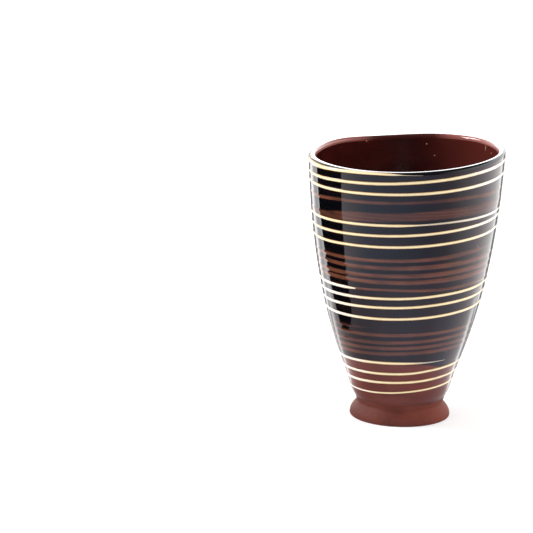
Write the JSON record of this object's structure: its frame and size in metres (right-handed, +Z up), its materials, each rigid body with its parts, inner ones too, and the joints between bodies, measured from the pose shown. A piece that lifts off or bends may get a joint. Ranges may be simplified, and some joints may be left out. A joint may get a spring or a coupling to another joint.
{
  "type": "pottery tumbler",
  "caption": "Hand-thrown pottery tumbler: a flaring wall on a turned foot, a dark slip coat and cream and brown slip lines laid in spirals.",
  "frame": {"origin": "centre of the foot's resting ring, on the table", "axes": "+Z up along the axis of the wall, -Y towards the front, where the rim trail leaves the lip"},
  "size_m": [0.0889, 0.0887, 0.1241],
  "materials": {
    "fired_clay": "matte terracotta",
    "lining_glaze": "gloss",
    "dark_coat": "gloss",
    "skirt_glaze": "gloss",
    "cream_slip": "gloss",
    "brown_slip": "gloss"
  },
  "bodies": {
    "root": {"thrown_wall": "fired_clay", "turned_foot": "fired_clay", "lining_glaze": "lining_glaze", "dark_slip_coat": "dark_coat", "skirt_glaze": "skirt_glaze", "rim_trail": "cream_slip", "upper_trail": "cream_slip", "waist_trail": "cream_slip", "base_trail": "cream_slip", "upper_brown_line": "brown_slip", "upper_brown_band": "brown_slip", "middle_brown_lines": "brown_slip", "lower_brown_lines": "brown_slip"}
  },
  "joints": []
}
